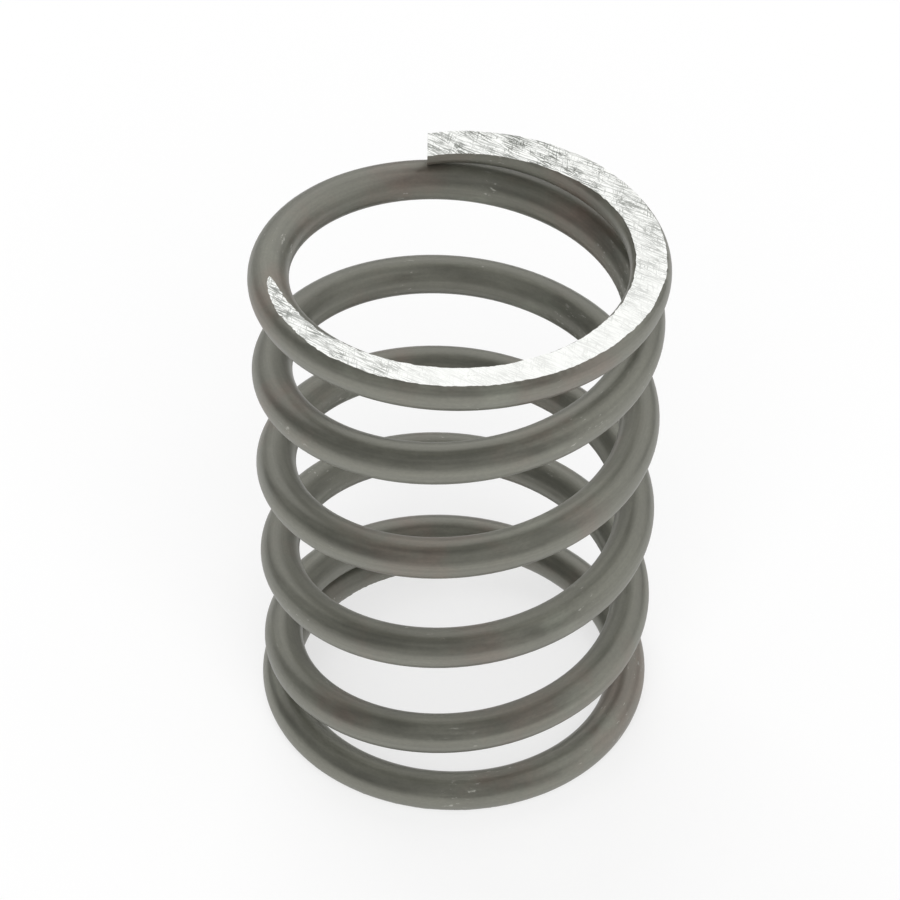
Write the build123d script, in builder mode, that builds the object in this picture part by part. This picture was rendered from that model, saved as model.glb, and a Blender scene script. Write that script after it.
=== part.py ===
from build123d import *
from math import cos, pi, radians, sin
import os

# Small compression spring, wound right-handed from one round wire, with both
# ends closed and ground flat. Millimetres, +Z up, origin on the spring's axis
# in the plane of the bottom ground face. The wire is followed from its top tip
# down to its bottom tip, by the angle wound about the axis. Both ends are alike.

# Driving dimensions
wire_diameter = 2.0
mean_diameter = 18.2
free_length = 28.2
total_coils = 6
tip_azimuth = 99.5  # degrees about +Z from +X, of both tips

# An end: a closed coil with almost no pitch, then a stretch on which the pitch
# opens to that of the active coils
closed_pitch = 0.30  # per turn
closed_angle = radians(172)
opening_angle = radians(228)

# Each tip stands off a little from the coil beside it, and outwards from the axis
tip_rise = 0.56
tip_rise_angle = radians(80)
tip_flare = 0.25
tip_flare_angle = radians(270)

wire_radius = wire_diameter / 2
mean_radius = mean_diameter / 2
wound_angle = 2 * pi * total_coils

# The wire is swept in spans of half a turn, each along a spline
spans = 2 * total_coils
steps = 8  # from point to point of a span's spline

# Drop for each radian wound, in the closed and in the active coils
closed_drop = closed_pitch / (2 * pi)
end_angle = closed_angle + opening_angle / 2
active_height = free_length - 2 * tip_rise - 2 * closed_drop * end_angle
active_drop = active_height / (wound_angle - 2 * end_angle)


def eased(share):
    """A smooth step: 0 up to share 0, 1 from share 1 on."""
    share = min(max(share, 0), 1)
    return share**2 * (3 - 2 * share)


def eased_sum(share):
    """The area under eased from 0 to share."""
    inside = min(max(share, 0), 1)
    return inside**3 - inside**4 / 2 + max(share - 1, 0)


def depth(angle):
    """How far the centreline lies inside a ground face, at an angle from that end's tip."""
    opened = opening_angle * eased_sum((angle - closed_angle) / opening_angle)
    stood_off = tip_rise * eased(angle / tip_rise_angle)
    return stood_off + closed_drop * angle + (active_drop - closed_drop) * opened


def centre(angle):
    """The point of the wire's centreline at an angle from the top tip."""
    left = wound_angle - angle
    height = free_length - depth(angle) if angle < left else depth(left)
    flare = 2 - eased(angle / tip_flare_angle) - eased(left / tip_flare_angle)
    radius = mean_radius + tip_flare * flare
    azimuth = radians(tip_azimuth) - angle
    return Vector(radius * cos(azimuth), radius * sin(azimuth), height)


def heading(angle):
    """The centreline's direction, from two points close by on either side."""
    step = 1e-4
    return (centre(angle + step) - centre(angle - step)).normalized()


with BuildPart() as spring_wire:
    wire_length = 0
    for span in range(spans):
        start = wound_angle * span / spans
        end = wound_angle * (span + 1) / spans
        points = [centre(start + (end - start) * i / steps) for i in range(steps + 1)]
        with BuildLine() as centreline:
            Spline(*points, tangents=(heading(start), heading(end)), tangent_scalars=(1, 1))
        # The tube's seam faces the middle of the spring, clear of the ground faces
        seam = (0, 0, -1) if end <= wound_angle / 2 else (0, 0, 1)
        with BuildSketch(Plane(origin=centre(start), x_dir=seam, z_dir=heading(start))):
            Circle(wire_radius)
        sweep(path=centreline.wire(), is_frenet=True)
        wire_length += centreline.wire().length
    # Both ends ground flat and square to the axis, down to the middle of each tip
    split(bisect_by=Plane.XY.offset(free_length), keep=Keep.BOTTOM)
    split(bisect_by=Plane.XY, keep=Keep.TOP)

spring_wire.part.label = "spring_wire"
os.makedirs("parts", exist_ok=True)
export_step(spring_wire.part, "parts/spring_wire.step")

tip_gap = (centre(0) - centre(2 * pi)).length - wire_diameter
print(f"wire length {wire_length:.1f} mm, active pitch {2 * pi * active_drop:.3f} mm")
print(f"gap between a tip and the coil beside it {tip_gap:.3f} mm")
print(f"volume {spring_wire.part.volume:.1f} mm3, unground {pi * wire_radius**2 * wire_length:.1f} mm3")
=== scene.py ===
from math import pi, radians

import bpy
import numpy as np
from bpy.props import FloatProperty, FloatVectorProperty, IntProperty, PointerProperty
from bpy.types import Operator, Panel, PropertyGroup
from mathutils import Matrix, Vector


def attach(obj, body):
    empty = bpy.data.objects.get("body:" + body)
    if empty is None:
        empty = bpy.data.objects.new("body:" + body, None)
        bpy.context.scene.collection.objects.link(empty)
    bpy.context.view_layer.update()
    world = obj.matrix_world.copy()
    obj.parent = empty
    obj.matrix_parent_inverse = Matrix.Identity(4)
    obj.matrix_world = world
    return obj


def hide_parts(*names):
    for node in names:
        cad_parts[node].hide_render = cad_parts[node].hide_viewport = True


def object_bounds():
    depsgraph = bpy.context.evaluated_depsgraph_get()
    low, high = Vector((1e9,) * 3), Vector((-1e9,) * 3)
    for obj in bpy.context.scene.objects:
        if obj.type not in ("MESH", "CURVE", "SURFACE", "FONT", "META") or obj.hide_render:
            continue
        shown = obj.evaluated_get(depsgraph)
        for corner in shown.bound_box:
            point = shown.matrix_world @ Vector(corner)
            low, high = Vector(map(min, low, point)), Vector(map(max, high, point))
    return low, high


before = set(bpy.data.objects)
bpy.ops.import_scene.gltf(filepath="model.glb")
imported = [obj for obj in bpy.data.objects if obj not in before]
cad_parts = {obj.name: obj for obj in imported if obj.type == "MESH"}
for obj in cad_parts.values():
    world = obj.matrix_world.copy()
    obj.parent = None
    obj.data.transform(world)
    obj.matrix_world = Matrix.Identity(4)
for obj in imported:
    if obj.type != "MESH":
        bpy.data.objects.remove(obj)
CAD_BOUNDS = [list(corner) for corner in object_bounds()]

bl_info = {
    "name": "Ground Compression Spring",
    "version": (1, 0, 0),
    "blender": (4, 5, 0),
    "location": "3D View > Sidebar > Spring",
    "description": "Coils a compression spring with ground ends and sets the stage for it",
    "category": "Add Mesh",
}

WIRE_NODE = "spring_wire"
CAD_HEIGHT = CAD_BOUNDS[1][2]
MM = 0.001


# Properties


class SpringShape(PropertyGroup):
    """Sizes of the wire and of its coils."""

    wire_diameter: FloatProperty(
        name="Wire", description="Diameter of the wire", default=2.0 * MM, unit="LENGTH",
    )
    mean_diameter: FloatProperty(
        name="Mean coil", description="Diameter of the circle that the wire's middle follows",
        default=18.2 * MM, unit="LENGTH",
    )
    free_length: FloatProperty(
        name="Free length", description="From one ground face to the other",
        default=CAD_HEIGHT, unit="LENGTH",
    )
    total_coils: IntProperty(
        name="Coils", description="Turns of the wire from tip to tip", default=6, min=3,
    )
    tip_azimuth: FloatProperty(
        name="Tip azimuth", description="Where both tips are, about +Z from +X",
        default=radians(99.5), subtype="ANGLE",
    )
    closed_pitch: FloatProperty(
        name="Closed pitch", description="Rise for each turn of a closed end coil",
        default=0.30 * MM, unit="LENGTH",
    )
    closed_angle: FloatProperty(
        name="Closed angle", description="Turn of the wire before its pitch begins to open",
        default=radians(172), subtype="ANGLE",
    )
    opening_angle: FloatProperty(
        name="Opening angle", description="Turn of the wire over which its pitch opens",
        default=radians(228), subtype="ANGLE",
    )
    tip_rise: FloatProperty(
        name="Tip rise", description="How far a tip stands off from its coil, along the axis",
        default=0.56 * MM, unit="LENGTH",
    )
    tip_rise_angle: FloatProperty(
        name="Tip rise angle", description="Turn over which a tip stands off",
        default=radians(80), subtype="ANGLE",
    )
    tip_flare: FloatProperty(
        name="Tip flare", description="How far a tip stands out from the axis",
        default=0.25 * MM, unit="LENGTH",
    )
    tip_flare_angle: FloatProperty(
        name="Tip flare angle", description="Turn over which a tip stands out",
        default=radians(270), subtype="ANGLE",
    )
    tip_skew: FloatProperty(
        name="Tip skew", description="Turn of the cut through a tip from square to the wire",
        default=radians(9.5), subtype="ANGLE",
    )
    tip_bend: FloatProperty(
        name="Tip bend", description="How far the cutter bent each tip in towards the axis",
        default=0.15 * MM, unit="LENGTH",
    )
    edge_roughness: FloatProperty(
        name="Edge roughness", description="How far the edges of the ground faces are nicked",
        default=0.040 * MM, unit="LENGTH",
    )


class SpringFinish(PropertyGroup):
    """Colours and gloss of the drawn wire and of its ground ends."""

    steel_colour: FloatVectorProperty(
        name="Wire", description="Scale on the drawn wire", default=(0.088, 0.089, 0.073),
        size=3, subtype="COLOR", min=0, max=1,
    )
    rust_colour: FloatVectorProperty(
        name="Bloom", description="Brown bloom on the wire", default=(0.102, 0.079, 0.065),
        size=3, subtype="COLOR", min=0, max=1,
    )
    scuff_colour: FloatVectorProperty(
        name="Scuff", description="Wire rubbed bright", default=(0.30, 0.30, 0.27),
        size=3, subtype="COLOR", min=0, max=1,
    )
    haze_colour: FloatVectorProperty(
        name="Haze", description="Pale grey-green haze in places on the wire",
        default=(0.135, 0.145, 0.118), size=3, subtype="COLOR", min=0, max=1,
    )
    gloss_tint: FloatVectorProperty(
        name="Gloss tint", description="Tint of the scale's gloss", default=(0.98, 0.97, 0.86),
        size=3, subtype="COLOR", min=0, max=1,
    )
    steel_roughness: FloatProperty(
        name="Wire roughness", description="Roughness of the wire's surface",
        default=0.40, min=0, max=1, subtype="FACTOR",
    )
    ground_colour: FloatVectorProperty(
        name="Ground", description="Freshly ground steel", default=(0.98, 0.99, 0.96),
        size=3, subtype="COLOR", min=0, max=1,
    )
    scratch_colour: FloatVectorProperty(
        name="Scratch", description="Bottom of the grinding scratches",
        default=(0.14, 0.15, 0.13), size=3, subtype="COLOR", min=0, max=1,
    )
    ground_roughness: FloatProperty(
        name="Ground roughness", description="Roughness of the ground faces",
        default=0.28, min=0, max=1, subtype="FACTOR",
    )
    grind_azimuth: FloatProperty(
        name="Grinding direction",
        description="Direction of the grinding scratches, about +Z from +X",
        default=radians(-32), subtype="ANGLE",
    )


class SpringStudio(PropertyGroup):
    """Camera, lamps, cards and floor."""

    camera_elevation: FloatProperty(
        name="Elevation", description="Height of the camera's line of sight above the horizon",
        default=radians(40.856), subtype="ANGLE",
    )
    camera_roll: FloatProperty(
        name="Roll", description="Turn of the camera about its line of sight",
        default=radians(0.210), subtype="ANGLE",
    )
    camera_distance: FloatProperty(
        name="Distance", description="From the camera to the spring's foot, along its sight",
        default=168.968 * MM, unit="LENGTH",
    )
    camera_right: FloatProperty(
        name="Right", description="How far right of the line of sight the spring's foot is",
        default=0.293 * MM, unit="LENGTH",
    )
    camera_below: FloatProperty(
        name="Below", description="How far below the line of sight the spring's foot is",
        default=12.016 * MM, unit="LENGTH",
    )
    lens: FloatProperty(
        name="Lens", description="Focal length on a sensor 36 mm wide", default=125.92,
        min=1, unit="CAMERA",
    )
    floor_colour: FloatVectorProperty(
        name="Floor", description="Colour of the floor", default=(0.97, 0.97, 0.97),
        size=3, subtype="COLOR", min=0, max=1,
    )
    world_strength: FloatProperty(
        name="Surround", description="Brightness of the plain surround on the spring",
        default=0.45, min=0,
    )
    back_strength: FloatProperty(
        name="Back lamp", description="Strength of the lamp behind the spring",
        default=1.1, min=0,
    )
    front_strength: FloatProperty(
        name="Front lamp", description="Strength of the lamp on the camera's side",
        default=1.9, min=0,
    )
    card_strength: FloatProperty(
        name="Cards", description="Brightness of the dark cards", default=0.10, min=0,
    )
    card_left: FloatProperty(
        name="Card left", description="Azimuth of the card's left edge, about +Z from +X",
        default=radians(-215), subtype="ANGLE",
    )
    card_right: FloatProperty(
        name="Card right", description="Azimuth of the card's right edge",
        default=radians(-30), subtype="ANGLE",
    )
    card_low: FloatProperty(
        name="Card foot", description="Elevation of the card's lower edge",
        default=radians(0), subtype="ANGLE",
    )
    card_high: FloatProperty(
        name="Card head", description="Where the card ends behind, past straight overhead",
        default=radians(112), subtype="ANGLE",
    )
    back_card_high: FloatProperty(
        name="Back card head", description="Elevation of the low back card's upper edge",
        default=radians(14), subtype="ANGLE",
    )


# The wire's centreline


def eased(share):
    """A smooth step: 0 up to share 0, 1 from share 1 on."""
    share = np.clip(share, 0, 1)
    return share**2 * (3 - 2 * share)


def eased_sum(share):
    """The area under eased from 0 to share."""
    inside = np.clip(share, 0, 1)
    return inside**3 - inside**4 / 2 + np.maximum(share - 1, 0)


def depth(shape, angle):
    """How far the centreline lies inside a ground face, at angles wound from that end's tip.

    The slope of the closed coil, plus the further slope of the active coils eased in, plus
    the tip's own rise eased out.
    """
    closed_drop = shape.closed_pitch / (2 * pi)
    end_angle = shape.closed_angle + shape.opening_angle / 2
    active_height = shape.free_length - 2 * shape.tip_rise - 2 * closed_drop * end_angle
    active_drop = active_height / (2 * pi * shape.total_coils - 2 * end_angle)
    opened = shape.opening_angle * eased_sum((angle - shape.closed_angle) / shape.opening_angle)
    stood_off = shape.tip_rise * eased(angle / shape.tip_rise_angle)
    return stood_off + closed_drop * angle + (active_drop - closed_drop) * opened


def centreline(shape, angle):
    """Points of the wire's centreline at angles wound from the top tip down.

    The wire goes down clockwise as seen from above, on a circle that widens towards each tip.
    """
    left = 2 * pi * shape.total_coils - angle
    height = np.where(angle < left, shape.free_length - depth(shape, angle), depth(shape, left))
    flare = 2 - eased(angle / shape.tip_flare_angle) - eased(left / shape.tip_flare_angle)
    radius = shape.mean_diameter / 2 + shape.tip_flare * flare
    azimuth = shape.tip_azimuth - angle
    return np.stack([radius * np.cos(azimuth), radius * np.sin(azimuth), height], axis=-1)


def section_axes(shape, angle):
    """Two unit directions across the wire: outwards and level, and upwards.

    Outwards is level and square to the wire's heading, which comes from two points close by
    on either side, and upwards is square to both.
    """
    step = 1e-4
    heading = centreline(shape, angle + step) - centreline(shape, angle - step)
    heading /= np.linalg.norm(heading, axis=-1, keepdims=True)
    outwards = np.stack([-heading[:, 1], heading[:, 0], np.zeros(len(angle))], axis=-1)
    outwards /= np.linalg.norm(outwards, axis=-1, keepdims=True)
    upwards = np.cross(outwards, heading)
    upwards *= np.sign(upwards[:, 2:])
    return outwards, upwards


def wander(angle, seed, counts, shares):
    """Smooth random values along the wire, about -1 to 1.

    For each count a row of that many seeded random numbers per turn, with cubic easing from
    one to the next, times its share, all added up.
    """
    total = np.zeros_like(angle)
    for level, (count, share) in enumerate(zip(counts, shares)):
        place = angle / (2 * pi) * count
        cell = np.floor(place).astype(int)
        values = np.random.default_rng(seed + level).uniform(-1, 1, cell.max() + 2)
        weight = eased(place - cell)
        total += share * (values[cell] * (1 - weight) + values[cell + 1] * weight)
    return total


# The wire's surface

SIDE_STEPS = 22  # around one side of the wire, from the top cut's edge to the bottom cut's
FACE_STEPS = 6  # across a ground face
GROUND_TURNS = 0.80  # turns from a tip within which its ground face tapers away
GROUND_STEPS = 640  # along the wire there
COIL_STEPS = 110  # per turn elsewhere
EDGE_WIDTH = 0.16  # angle round the wire over which a rough edge fades into the round
BEND_LENGTH = 3.0 * MM  # length of wire that a bent tip takes in
SKEW_LENGTH = 1.5 * MM  # length of wire over which a tip's skewed cut squares up
TAPER_DEPTH = 0.12 * MM  # depth of a cut, near its end, over which its edges turn rough
SHARP_ANGLE = radians(20)  # between faces, past which the edge between them is sharp
TOP_INNER, TOP_OUTER, LOW_INNER, LOW_OUTER = 11, 21, 31, 41  # random seeds of the cuts' edges


def stations(shape):
    """Angles along the wire, close together beside the ground faces and wider between."""
    total = 2 * pi * shape.total_coils
    ground = 2 * pi * GROUND_TURNS
    middle = round(COIL_STEPS * (shape.total_coils - 2 * GROUND_TURNS))
    return np.concatenate([
        np.linspace(0, ground, GROUND_STEPS, endpoint=False),
        np.linspace(ground, total - ground, middle, endpoint=False),
        np.linspace(total - ground, total, GROUND_STEPS + 1),
    ])


def cut_edge(shape, angle, height, seed):
    """Where a ground plane cuts one side of the wire: section angle, and radius past nominal.

    The sine of the angle is the plane's height above the centreline over the radius, and the
    angle is a quarter turn where the plane clears the wire. Nicks only take metal away, and
    they fade out where the cut runs out.
    """
    radius = shape.wire_diameter / 2
    rough = np.minimum(wander(angle, seed, (60, 190, 420), (0.45, 0.4, 0.35)) - 0.6, 0)
    rough *= shape.edge_roughness * np.clip((radius - height) / TAPER_DEPTH, 0, 1)
    cut = height < radius + rough
    extra = np.where(cut, rough, 0)
    return np.where(cut, np.arcsin(np.minimum(height / (radius + extra), 1)), pi / 2), extra


def side_of_wire(shape, start, end, start_extra, end_extra):
    """Section angles and radii at even steps from one cut's edge to the other's.

    The extra radius at each edge fades into the round as a bell curve of the section angle.
    """
    turn = start[:, None] + (end - start)[:, None] * np.linspace(0, 1, SIDE_STEPS + 1)
    near_start = np.exp(-(((turn - start[:, None]) / EDGE_WIDTH) ** 2))
    near_end = np.exp(-(((turn - end[:, None]) / EDGE_WIDTH) ** 2))
    extra = near_start * start_extra[:, None] + near_end * end_extra[:, None]
    return turn, shape.wire_diameter / 2 + extra


def wire_grid(shape):
    """The wire's surface as a grid of points: along the wire, and round its section.

    A section is a circle whose top is cut off at the top ground plane and whose bottom is cut
    off at the bottom one. Round it, the columns go down the inner side, across the bottom cut,
    up the outer side and back across the top cut. At a tip, points slide along the wire in
    proportion to how far out they are, which skews the cut, and move in towards the axis.
    Returns the points, the same points on the wire drawn out straight along Z, and which
    stations have no top or bottom cut.
    """
    angle = stations(shape)
    centre = centreline(shape, angle)
    outwards, upwards = section_axes(shape, angle)
    above = (shape.free_length - centre[:, 2]) / upwards[:, 2]
    below = centre[:, 2] / upwards[:, 2]

    top_in, top_in_extra = cut_edge(shape, angle, above, TOP_INNER)
    top_out, top_out_extra = cut_edge(shape, angle, above, TOP_OUTER)
    low_in, low_in_extra = cut_edge(shape, angle, below, LOW_INNER)
    low_out, low_out_extra = cut_edge(shape, angle, below, LOW_OUTER)
    inner = side_of_wire(shape, pi - top_in, pi + low_in, top_in_extra, low_in_extra)
    outer = side_of_wire(shape, -low_out, top_out, low_out_extra, top_out_extra)

    share = np.linspace(0, 1, FACE_STEPS + 1)[1:-1]
    level = [reach * np.cos(turn) for turn, reach in (inner, outer)]
    upright = [reach * np.sin(turn) for turn, reach in (inner, outer)]

    def closed(inner_values, outer_values):
        """The two sides with the cuts' straight chords between them."""
        low = inner_values[:, -1:] * (1 - share) + outer_values[:, :1] * share
        top = outer_values[:, -1:] * (1 - share) + inner_values[:, :1] * share
        return np.concatenate([inner_values, low, outer_values, top], axis=1)

    level, upright = closed(*level), closed(*upright)
    points = (
        centre[:, None]
        + level[..., None] * outwards[:, None]
        + upright[..., None] * upwards[:, None]
    )
    along = np.concatenate([[0], np.cumsum(np.linalg.norm(np.diff(centre, axis=0), axis=1))])
    straight = np.stack([level, upright, np.broadcast_to(along[:, None], level.shape)], axis=-1)
    from_tip = np.minimum(along, along[-1] - along)
    skew = np.tan(shape.tip_skew) * np.clip(1 - from_tip / SKEW_LENGTH, 0, 1) ** 2
    skew *= np.where(along < along[-1] / 2, 1, -1)
    heading = np.stack([outwards[:, 1], -outwards[:, 0], np.zeros_like(along)], axis=-1)
    points += (level * skew[:, None])[..., None] * heading[:, None]
    bend = shape.tip_bend * np.clip(1 - from_tip / BEND_LENGTH, 0, 1) ** 2
    points -= (bend[:, None] * outwards)[:, None]
    uncut_top = (top_in == pi / 2) & (top_out == pi / 2)
    uncut_low = (low_in == pi / 2) & (low_out == pi / 2)
    return points, straight, uncut_top, uncut_low


def end_cap(loop, inner_end, outer_start, outer_end):
    """Faces that close one end of the wire, from the vertex numbers round its section.

    Strips run from the inner side to the outer side, and a fan from the end of the inner side
    takes in each cut's chord.
    """
    inner, outer = loop[1:inner_end], loop[outer_end - 1 : outer_start : -1]
    faces = [np.stack([inner[:-1], outer[:-1], outer[1:], inner[1:]], axis=-1)]
    top = np.append(loop[outer_end - 1 :], loop[0])
    low = loop[inner_end : outer_start + 2]
    for middle, rim in ((inner[0], top), (inner[-1], low)):
        apex = np.full(len(rim) - 1, middle)
        faces.append(np.stack([apex, rim[1:], rim[:-1], rim[:-1]], axis=-1))
    return np.concatenate(faces)


def wire_faces(rows, uncut_top, uncut_low):
    """Faces of the wire's grid, with the columns of a cut that isn't there drawn to a point.

    Returns quads and triangles as vertex numbers, and a mark for each that is a ground face.
    """
    inner_end = SIDE_STEPS
    outer_start = inner_end + FACE_STEPS
    outer_end = outer_start + SIDE_STEPS
    columns = outer_end + FACE_STEPS
    number = np.arange(rows * columns).reshape(rows, columns)
    number[uncut_top, outer_end:] = number[uncut_top, :1]
    number[uncut_low, inner_end : outer_start + 1] = number[uncut_low, inner_end : inner_end + 1]

    after = np.roll(number, -1, axis=1)
    walls = np.stack([number[:-1], after[:-1], after[1:], number[1:]], axis=-1)
    on_cut = np.zeros((rows - 1, columns), bool)
    on_cut[:, inner_end:outer_start] = True
    on_cut[:, outer_end:] = True

    faces = np.concatenate([
        walls.reshape(-1, 4),
        end_cap(number[0], inner_end, outer_start, outer_end),
        end_cap(number[-1], inner_end, outer_start, outer_end)[:, ::-1],
    ])
    ground = np.concatenate([on_cut.ravel(), np.zeros(len(faces) - on_cut.size, bool)])

    repeated = faces == np.roll(faces, -1, axis=1)
    corners = 4 - repeated.sum(axis=1)
    quads, triangles = corners == 4, corners == 3
    return (
        faces[quads],
        faces[triangles][~repeated[triangles]].reshape(-1, 3),
        np.concatenate([ground[quads], ground[triangles]]),
    )


def wire_mesh(shape):
    """The whole wire as one closed mesh, with the straightened wire as a vertex attribute."""
    points, straight, uncut_top, uncut_low = wire_grid(shape)
    quads, triangles, ground = wire_faces(len(points), uncut_top, uncut_low)
    loops = np.concatenate([quads.ravel(), triangles.ravel()])
    used, packed = np.unique(loops, return_inverse=True)
    sides = np.concatenate([np.full(len(quads), 4), np.full(len(triangles), 3)])
    starts = np.cumsum(sides) - sides

    mesh = bpy.data.meshes.new("ground_spring")
    mesh.vertices.add(len(used))
    mesh.vertices.foreach_set("co", points.reshape(-1, 3)[used].astype(np.float32).ravel())
    mesh.loops.add(len(packed))
    mesh.loops.foreach_set("vertex_index", packed.astype(np.int32))
    mesh.polygons.add(len(sides))
    mesh.polygons.foreach_set("loop_start", starts.astype(np.int32))
    mesh.polygons.foreach_set("material_index", ground.astype(np.int32))
    mesh.update(calc_edges=True)
    mesh.shade_smooth()
    mesh.set_sharp_from_angle(angle=SHARP_ANGLE)

    drawn = mesh.attributes.new("drawn", "FLOAT_VECTOR", "POINT")
    drawn.data.foreach_set("vector", straight.reshape(-1, 3)[used].astype(np.float32).ravel())
    along = straight[..., 2]
    from_tip = mesh.attributes.new("from_tip", "FLOAT", "POINT")
    nearest = np.minimum(along, along.max() - along)
    from_tip.data.foreach_set("value", nearest.ravel()[used].astype(np.float32))
    if mesh.validate():
        raise RuntimeError("the wire's mesh has faces that Blender had to mend")
    return mesh


# Node helpers


class Nodes:
    """Adds nodes to a tree, wired as they are made."""

    def __init__(self, tree):
        self.tree = tree

    def add(self, kind, links=None, **settings):
        """One node, with values or sockets given for its inputs by name or number."""
        node = self.tree.nodes.new(kind)
        for name, value in settings.items():
            setattr(node, name, value)
        for name, value in (links or {}).items():
            if isinstance(value, bpy.types.NodeSocket):
                self.tree.links.new(value, node.inputs[name])
            else:
                node.inputs[name].default_value = value
        return node

    def stretched(self, vector, scale, turn=0):
        """The vector scaled on each axis, after a turn about Z."""
        turned = vector
        if turn:
            rotation = self.add("ShaderNodeMapping", {"Vector": vector, "Rotation": (0, 0, turn)})
            turned = rotation.outputs["Vector"]
        scaled = self.add("ShaderNodeMapping", {"Vector": turned, "Scale": scale})
        return scaled.outputs["Vector"]

    def noise(self, vector, detail=2.0, roughness=0.5):
        """Noise of scale 1 on a vector, as a value."""
        node = self.add("ShaderNodeTexNoise", {
            "Vector": vector, "Scale": 1.0, "Detail": detail, "Roughness": roughness,
        })
        return node.outputs["Fac"]

    def ramp(self, value, low, high, to_low=0.0, to_high=1.0):
        """A smooth step of a value between two places, to a range."""
        node = self.add("ShaderNodeMapRange", {
            "Value": value, "From Min": low, "From Max": high, "To Min": to_low,
            "To Max": to_high,
        }, interpolation_type="SMOOTHSTEP")
        return node.outputs["Result"]

    def maths(self, operation, first, second):
        """One operation on two values."""
        node = self.add("ShaderNodeMath", {0: first, 1: second}, operation=operation)
        return node.outputs["Value"]

    def mix(self, share, first, second, blend="MIX"):
        """Two colours mixed by a share."""
        node = self.add("ShaderNodeMix", data_type="RGBA", blend_type=blend)
        for place, value in ((0, share), (6, first), (7, second)):
            if isinstance(value, bpy.types.NodeSocket):
                self.tree.links.new(value, node.inputs[place])
            else:
                node.inputs[place].default_value = value if place == 0 else (*value, 1)
        return node.outputs[2]


def new_material(name):
    """An empty material with its output node, and a helper on its tree."""
    material = bpy.data.materials.new(name)
    material.use_nodes = True
    material.node_tree.nodes.clear()
    nodes = Nodes(material.node_tree)
    return material, nodes, nodes.add("ShaderNodeOutputMaterial")


# Materials


def drawn_steel(finish):
    """Drawn spring wire: grey-green scale with brown bloom, fine die lines and small scuffs."""
    material, nodes, output = new_material("drawn_steel")
    drawn = nodes.add("ShaderNodeAttribute", attribute_name="drawn").outputs["Vector"]
    place = nodes.add("ShaderNodeTexCoord").outputs["Object"]

    bloom = nodes.noise(nodes.stretched(place, (150, 150, 120)), detail=4, roughness=0.65)
    bloom = nodes.ramp(bloom, 0.50, 0.70)
    lines = nodes.noise(nodes.stretched(drawn, (4200, 4200, 60)), detail=3, roughness=0.65)
    grain = nodes.noise(nodes.stretched(drawn, (9000, 9000, 5200)), detail=2, roughness=0.6)
    cloud = nodes.noise(nodes.stretched(drawn, (800, 800, 260)), detail=4, roughness=0.6)
    rubbed = nodes.noise(nodes.stretched(drawn, (5200, 5200, 1900)), detail=3, roughness=0.7)
    where = nodes.noise(nodes.stretched(place, (330, 330, 330)), detail=2)
    scuff = nodes.maths("MULTIPLY", nodes.ramp(rubbed, 0.60, 0.70), nodes.ramp(where, 0.57, 0.68))
    haze = nodes.noise(nodes.stretched(drawn, (420, 420, 300)), detail=3, roughness=0.55)
    haze = nodes.ramp(haze, 0.58, 0.74, 0, 0.55)

    colour = nodes.mix(bloom, finish.steel_colour, finish.rust_colour)
    colour = nodes.mix(haze, colour, finish.haze_colour)
    streaks = nodes.ramp(lines, 0.3, 0.7, 0.84, 1.16)
    shade = nodes.maths("MULTIPLY", streaks, nodes.ramp(cloud, 0.28, 0.72, 0.78, 1.22))
    shade = nodes.maths("MULTIPLY", shade, nodes.ramp(grain, 0.3, 0.7, 0.90, 1.10))
    grey = nodes.add("ShaderNodeCombineColor", {"Red": shade, "Green": shade, "Blue": shade})
    colour = nodes.mix(1.0, colour, grey.outputs["Color"], "MULTIPLY")
    colour = nodes.mix(scuff, colour, finish.scuff_colour)

    grooves = nodes.maths("MULTIPLY", lines, 0.6)
    relief = nodes.maths("ADD", grooves, nodes.maths("MULTIPLY", grain, 0.4))
    bump = nodes.add("ShaderNodeBump", {"Height": relief, "Strength": 0.35, "Distance": 0.01 * MM})
    smoothest, roughest = finish.steel_roughness - 0.05, finish.steel_roughness + 0.07
    spread = nodes.ramp(cloud, 0.3, 0.7, smoothest, roughest)
    surface = nodes.add("ShaderNodeBsdfPrincipled", {
        "Base Color": colour, "Metallic": 0.0, "Roughness": spread, "IOR": 2.3,
        "Specular Tint": (*finish.gloss_tint, 1),
        "Normal": bump.outputs["Normal"],
    })
    nodes.tree.links.new(surface.outputs["BSDF"], output.inputs["Surface"])
    return material


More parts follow.
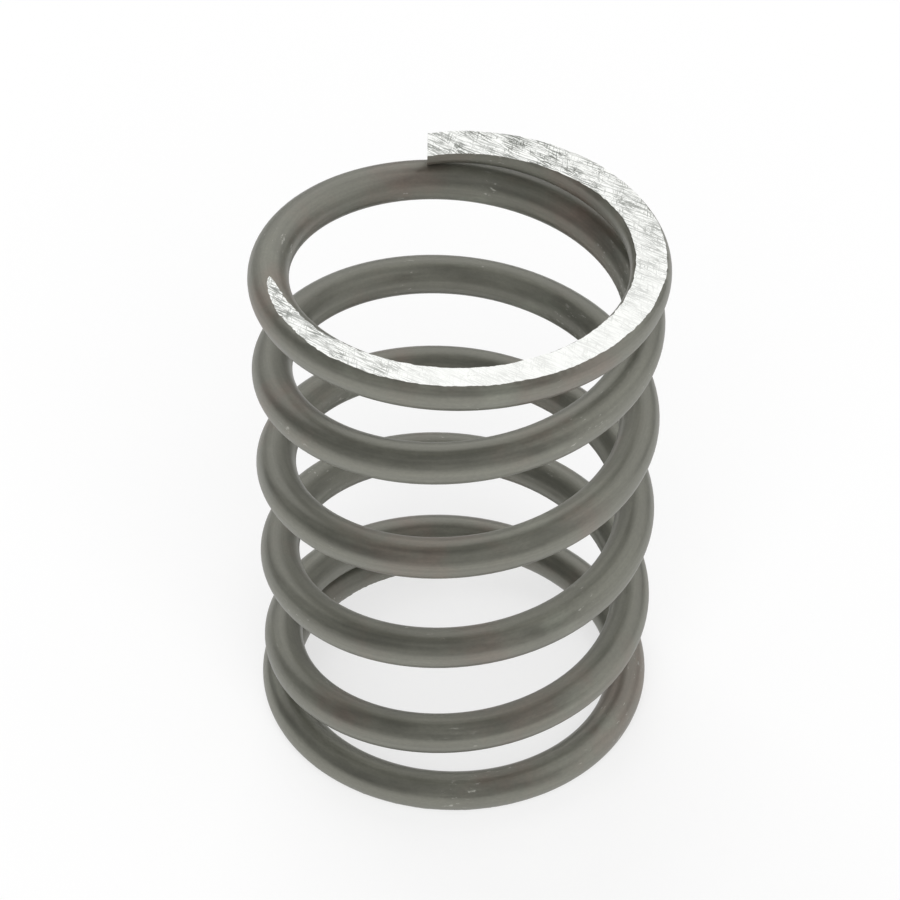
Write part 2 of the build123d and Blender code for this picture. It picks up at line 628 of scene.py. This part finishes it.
def ground_steel(finish):
    """Bright ground steel: fine scratches in one direction, crossed by a few others.

    The scratches are deeper towards the tip and where the face tapers away.
    Towards the tip, at the back, their darkening is partly painted shade.
    """
    material, nodes, output = new_material("ground_steel")
    place = nodes.add("ShaderNodeTexCoord").outputs["Object"]
    from_tip = nodes.add("ShaderNodeAttribute", attribute_name="from_tip").outputs["Fac"]
    turn = -finish.grind_azimuth

    long = nodes.noise(nodes.stretched(place, (750, 16000, 900), turn), detail=2, roughness=0.6)
    leaning = nodes.noise(
        nodes.stretched(place, (1100, 13000, 700), turn + radians(14)), detail=2, roughness=0.6,
    )
    across = nodes.noise(nodes.stretched(place, (1900, 15000, 900), turn + radians(64)), detail=1)
    pitted = nodes.noise(nodes.stretched(place, (5200, 9000, 900), turn), detail=3, roughness=0.7)
    patch = nodes.noise(nodes.stretched(place, (900, 1300, 700), turn), detail=2)

    # Painted shade in part: scratches darken towards the tip at the back, partly real wear and
    # partly the darker reflection there
    tip_wear_and_shade = nodes.ramp(from_tip, 5 * MM, 25 * MM, 1.0, 0.22)
    taper_wear = nodes.ramp(from_tip, 30 * MM, 36 * MM, 0, 0.85)
    wear_and_shade = nodes.maths("MAXIMUM", tip_wear_and_shade, taper_wear)
    patchy = nodes.ramp(patch, 0.32, 0.68, 0.30, 1.0)
    lines = nodes.maths("MAXIMUM", nodes.ramp(long, 0.50, 0.60), nodes.ramp(leaning, 0.54, 0.63))
    lines = nodes.maths("MULTIPLY", lines, nodes.ramp(patch, 0.30, 0.62, 0.45, 1.0))
    pits = nodes.maths("MULTIPLY", nodes.ramp(pitted, 0.50, 0.64), nodes.ramp(patch, 0.44, 0.64))
    ticks = nodes.maths("MULTIPLY", nodes.ramp(across, 0.58, 0.66), patchy)
    marks = nodes.maths("MAXIMUM", nodes.maths("MAXIMUM", lines, pits), ticks)
    dark = nodes.maths("MULTIPLY", marks, wear_and_shade)

    colour = nodes.mix(dark, finish.ground_colour, finish.scratch_colour)
    height = nodes.maths("SUBTRACT", 1.0, marks)
    bump = nodes.add("ShaderNodeBump", {"Height": height, "Strength": 0.3, "Distance": 0.006 * MM})
    surface = nodes.add("ShaderNodeBsdfPrincipled", {
        "Base Color": colour, "Metallic": 0.4, "Roughness": finish.ground_roughness,
        "Normal": bump.outputs["Normal"],
    })
    nodes.tree.links.new(surface.outputs["BSDF"], output.inputs["Surface"])
    return material


# Stage

FLOOR_SIZE = 6.0
CARD_DISTANCE = 1.0
FLOOR_SHADOW_SHARE = 0.35  # of the floor's brightness, which a shadow can take away
BACK_CARD_SIDES = radians(10), radians(170)  # azimuths between which the back card stands
BACK_CARD_LOW = radians(-2)
BACK_LAMP = radians(108), radians(35)  # azimuth and elevation
FRONT_LAMP = radians(-85), radians(40)
BACK_LAMP_SPREAD = radians(50)
FRONT_LAMP_SPREAD = radians(60)


def pale_floor(studio):
    """A white floor that still takes the spring's shadow, at the height of its foot."""
    half = FLOOR_SIZE / 2
    corners = [(-half, -half, 0), (half, -half, 0), (half, half, 0), (-half, half, 0)]
    mesh = bpy.data.meshes.new("floor")
    mesh.from_pydata(corners, [], [(0, 1, 2, 3)])
    floor = bpy.data.objects.new("floor", mesh)
    bpy.context.scene.collection.objects.link(floor)

    material, nodes, output = new_material("pale_floor")
    diffuse = nodes.add("ShaderNodeBsdfDiffuse", {"Color": (*studio.floor_colour, 1)})
    glow = nodes.add("ShaderNodeEmission", {"Color": (1, 1, 1, 1), "Strength": 1.0})
    path = nodes.add("ShaderNodeLightPath")
    shown = nodes.maths("MAXIMUM", path.outputs["Is Camera Ray"], path.outputs["Is Glossy Ray"])
    share = nodes.maths("MULTIPLY", shown, 1 - FLOOR_SHADOW_SHARE)
    both = nodes.add("ShaderNodeMixShader", {0: share, 1: diffuse.outputs[0], 2: glow.outputs[0]})
    nodes.tree.links.new(both.outputs[0], output.inputs["Surface"])
    mesh.materials.append(material)
    return floor


def plain_surround(studio):
    """A world that is white where it is seen, and of a plain brightness on the spring."""
    world = bpy.data.worlds.new("surround")
    bpy.context.scene.world = world
    world.use_nodes = True
    world.node_tree.nodes.clear()
    nodes = Nodes(world.node_tree)
    output = nodes.add("ShaderNodeOutputWorld")
    path = nodes.add("ShaderNodeLightPath")
    seen = nodes.maths("MAXIMUM", path.outputs["Is Camera Ray"], path.outputs["Is Glossy Ray"])
    seen = nodes.maths("MAXIMUM", seen, path.outputs["Is Transmission Ray"])
    strength = nodes.ramp(seen, 0, 1, studio.world_strength, 1.0)
    strength.node.interpolation_type = "LINEAR"
    background = nodes.add("ShaderNodeBackground", {"Color": (1, 1, 1, 1), "Strength": strength})
    nodes.tree.links.new(background.outputs[0], output.inputs["Surface"])


def dark_card(name, left, right, low, high, strength):
    """A dark card of a given faint brightness, which only gloss sees.

    Part of a sphere round the spring: a grid over azimuth and elevation.
    """
    azimuth = np.linspace(left, right, 33)
    elevation = np.linspace(low, high, 17)
    around, up = np.meshgrid(azimuth, elevation, indexing="ij")
    points = np.stack([
        np.cos(up) * np.cos(around), np.cos(up) * np.sin(around), np.sin(up),
    ], axis=-1) * CARD_DISTANCE
    number = np.arange(around.size).reshape(around.shape)
    quads = np.stack([number[:-1, :-1], number[:-1, 1:], number[1:, 1:], number[1:, :-1]], axis=-1)
    mesh = bpy.data.meshes.new(name)
    mesh.from_pydata(points.reshape(-1, 3).tolist(), [], quads.reshape(-1, 4).tolist())
    material, nodes, output = new_material(name)
    felt = nodes.add("ShaderNodeEmission", {"Color": (1, 1, 1, 1), "Strength": strength})
    nodes.tree.links.new(felt.outputs[0], output.inputs["Surface"])
    mesh.materials.append(material)
    card = bpy.data.objects.new(name, mesh)
    bpy.context.scene.collection.objects.link(card)
    card.visible_camera = card.visible_diffuse = card.visible_shadow = False
    card.visible_transmission = card.visible_volume_scatter = False


def lamp(name, azimuth, elevation, strength, spread):
    """A soft lamp far away, at an azimuth about +Z from +X and an elevation.

    Gloss doesn't show it, only the white surround, the floor and the dark cards.
    """
    data = bpy.data.lights.new(name, "SUN")
    data.energy = strength
    data.angle = spread
    item = bpy.data.objects.new(name, data)
    bpy.context.scene.collection.objects.link(item)
    towards = Vector((
        np.cos(azimuth) * np.cos(elevation),
        np.sin(azimuth) * np.cos(elevation),
        np.sin(elevation),
    ))
    item.location = towards
    item.rotation_euler = towards.to_track_quat("Z", "Y").to_euler()
    item.visible_glossy = False


def camera(studio):
    """The camera, turned by its elevation and roll, and placed from the spring's foot.

    Its axes are right, down and forward. The foot lies at the given distance forward, and
    right and down of the line of sight, all as the rolled camera sees them.
    """
    elevation, roll = studio.camera_elevation, studio.camera_roll
    right = np.array([1, 0, 0])
    forward = np.array([0, np.cos(elevation), -np.sin(elevation)])
    down = np.cross(forward, right)
    rolled_right = np.cos(roll) * right - np.sin(roll) * down
    rolled_down = np.sin(roll) * right + np.cos(roll) * down
    place = -(
        studio.camera_right * rolled_right
        + studio.camera_below * rolled_down
        + studio.camera_distance * forward
    )
    data = bpy.data.cameras.new("camera")
    data.lens = studio.lens
    data.sensor_width = 36
    data.clip_start, data.clip_end = 0.01, 20
    item = bpy.data.objects.new("camera", data)
    axes = Matrix(np.stack([rolled_right, -rolled_down, -forward], axis=1).tolist())
    item.matrix_world = Matrix.Translation(Vector(place)) @ axes.to_4x4()
    bpy.context.scene.collection.objects.link(item)
    bpy.context.scene.camera = item


# Operators


class SPRING_OT_coil(Operator):
    """Coil the wire, grind its ends and give it its finish"""

    bl_idname = "spring.coil"
    bl_label = "Coil Spring"
    bl_options = {"REGISTER", "UNDO"}

    def execute(self, context):
        scene = context.scene
        mesh = wire_mesh(scene.spring_shape)
        mesh.materials.append(drawn_steel(scene.spring_finish))
        mesh.materials.append(ground_steel(scene.spring_finish))
        spring = bpy.data.objects.new("ground_spring", mesh)
        scene.collection.objects.link(spring)
        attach(spring, "root")
        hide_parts(WIRE_NODE)
        return {"FINISHED"}


class SPRING_OT_stage(Operator):
    """Set the floor, surround, cards, lamps and camera"""

    bl_idname = "spring.stage"
    bl_label = "Set Stage"
    bl_options = {"REGISTER", "UNDO"}

    def execute(self, context):
        studio = context.scene.spring_studio
        pale_floor(studio)
        plain_surround(studio)
        dark_card(
            "dark_card", studio.card_left, studio.card_right, studio.card_low, studio.card_high,
            studio.card_strength,
        )
        dark_card(
            "back_card", *BACK_CARD_SIDES, BACK_CARD_LOW, studio.back_card_high,
            studio.card_strength,
        )
        lamp("back_lamp", *BACK_LAMP, studio.back_strength, BACK_LAMP_SPREAD)
        lamp("front_lamp", *FRONT_LAMP, studio.front_strength, FRONT_LAMP_SPREAD)
        camera(studio)
        context.scene.view_settings.view_transform = "Standard"
        return {"FINISHED"}


class SPRING_PT_panel(Panel):
    """The spring's sizes, finish and stage"""

    bl_label = "Compression Spring"
    bl_idname = "SPRING_PT_panel"
    bl_space_type = "VIEW_3D"
    bl_region_type = "UI"
    bl_category = "Spring"

    def draw(self, context):
        scene = context.scene
        groups = (
            (scene.spring_shape, "spring.coil"),
            (scene.spring_finish, None),
            (scene.spring_studio, "spring.stage"),
        )
        for group, operator in groups:
            box = self.layout.box()
            for name in type(group).__annotations__:
                box.prop(group, name)
            if operator:
                box.operator(operator)


CLASSES = (
    SpringShape, SpringFinish, SpringStudio, SPRING_OT_coil, SPRING_OT_stage, SPRING_PT_panel,
)


def register():
    for item in CLASSES:
        bpy.utils.register_class(item)
    bpy.types.Scene.spring_shape = PointerProperty(type=SpringShape)
    bpy.types.Scene.spring_finish = PointerProperty(type=SpringFinish)
    bpy.types.Scene.spring_studio = PointerProperty(type=SpringStudio)


def unregister():
    del bpy.types.Scene.spring_studio
    del bpy.types.Scene.spring_finish
    del bpy.types.Scene.spring_shape
    for item in reversed(CLASSES):
        bpy.utils.unregister_class(item)


def main():
    register()
    bpy.ops.spring.coil()
    bpy.ops.spring.stage()


if __name__ == "__main__":
    main()
